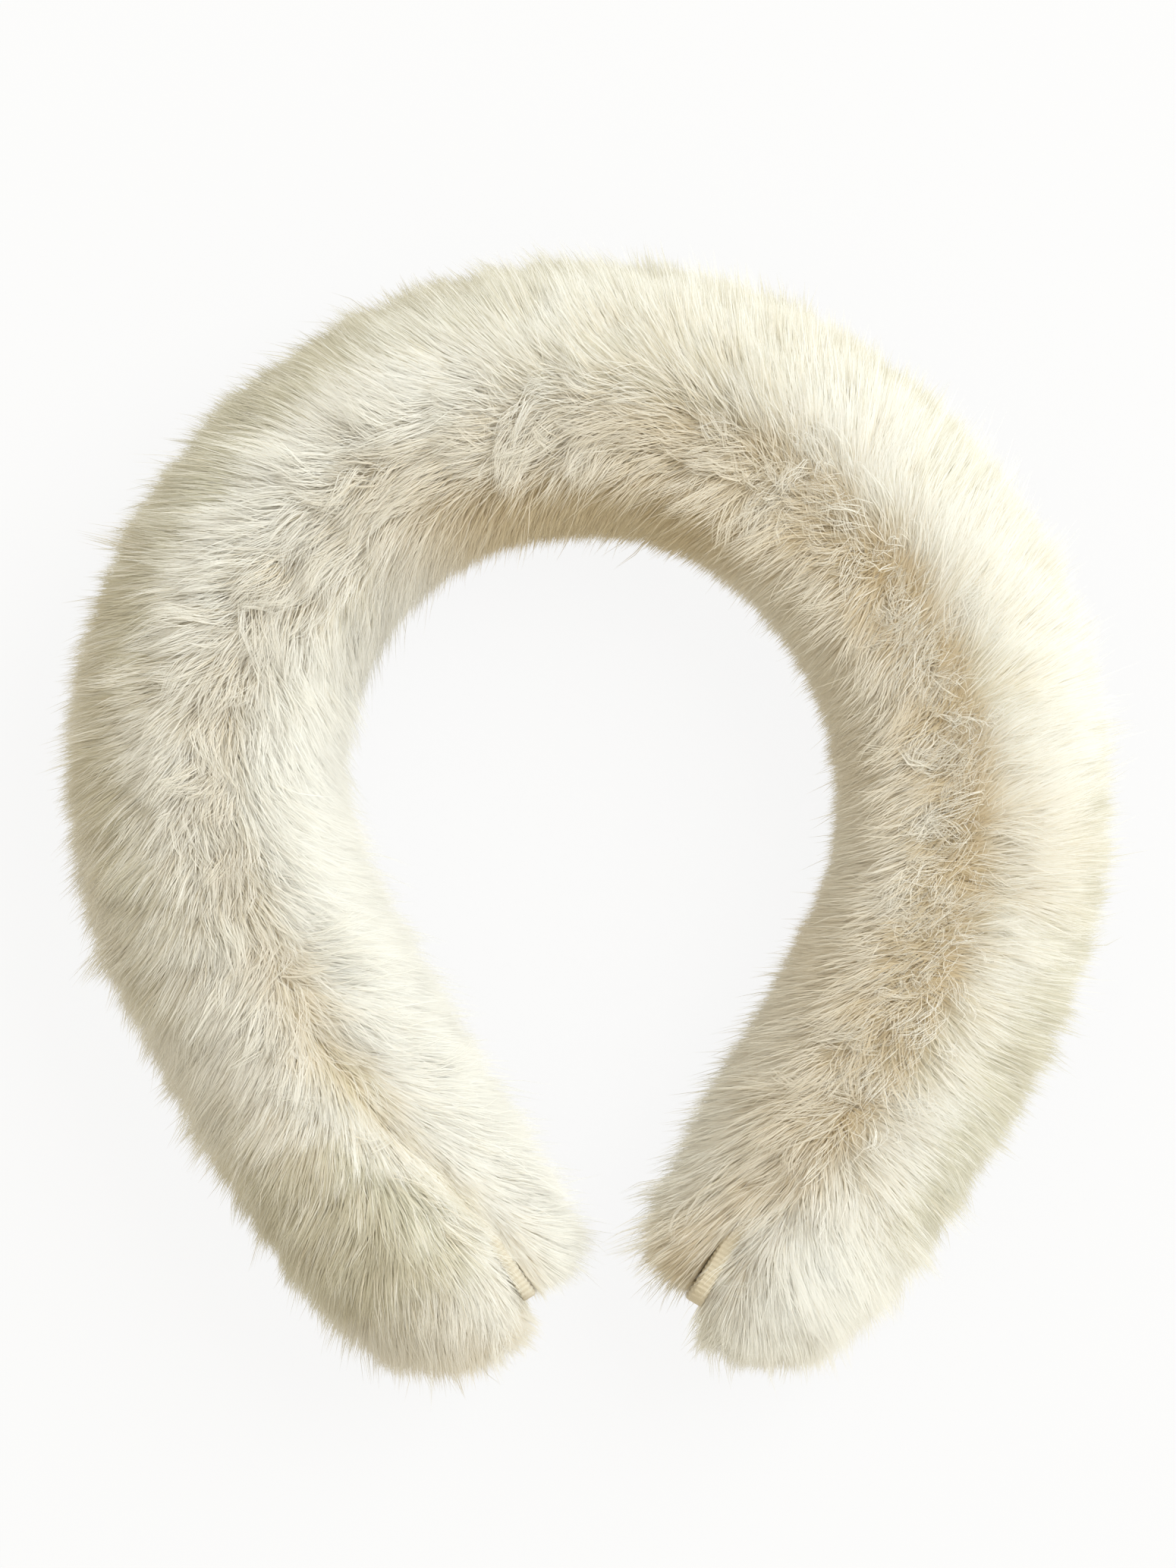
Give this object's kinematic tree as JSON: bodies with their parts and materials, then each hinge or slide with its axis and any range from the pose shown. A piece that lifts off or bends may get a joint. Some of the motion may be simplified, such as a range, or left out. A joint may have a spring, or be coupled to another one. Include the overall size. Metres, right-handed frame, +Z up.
{
  "type": "plush headband",
  "caption": "Padded faux-fur headband: a thick horseshoe roll in deep cream pile over a flat spring band wrapped in ribbon, with two-lobed ends.",
  "frame": {"origin": "on the table, under the middle of the headband's box as it lies on its side", "axes": "+Z up out of the table, the seam's side of the roll on top; +Y towards the crown, away from the two free ends; +X to the right seen from above"},
  "size_m": [0.1998, 0.2134, 0.0513],
  "materials": {
    "plush": "deep soft cream pile, tan at the roots",
    "ribbon": "matt ribbed beige ribbon"
  },
  "bodies": {
    "root": {"plush_cover": "plush", "ribbon_band": "ribbon"}
  },
  "joints": []
}
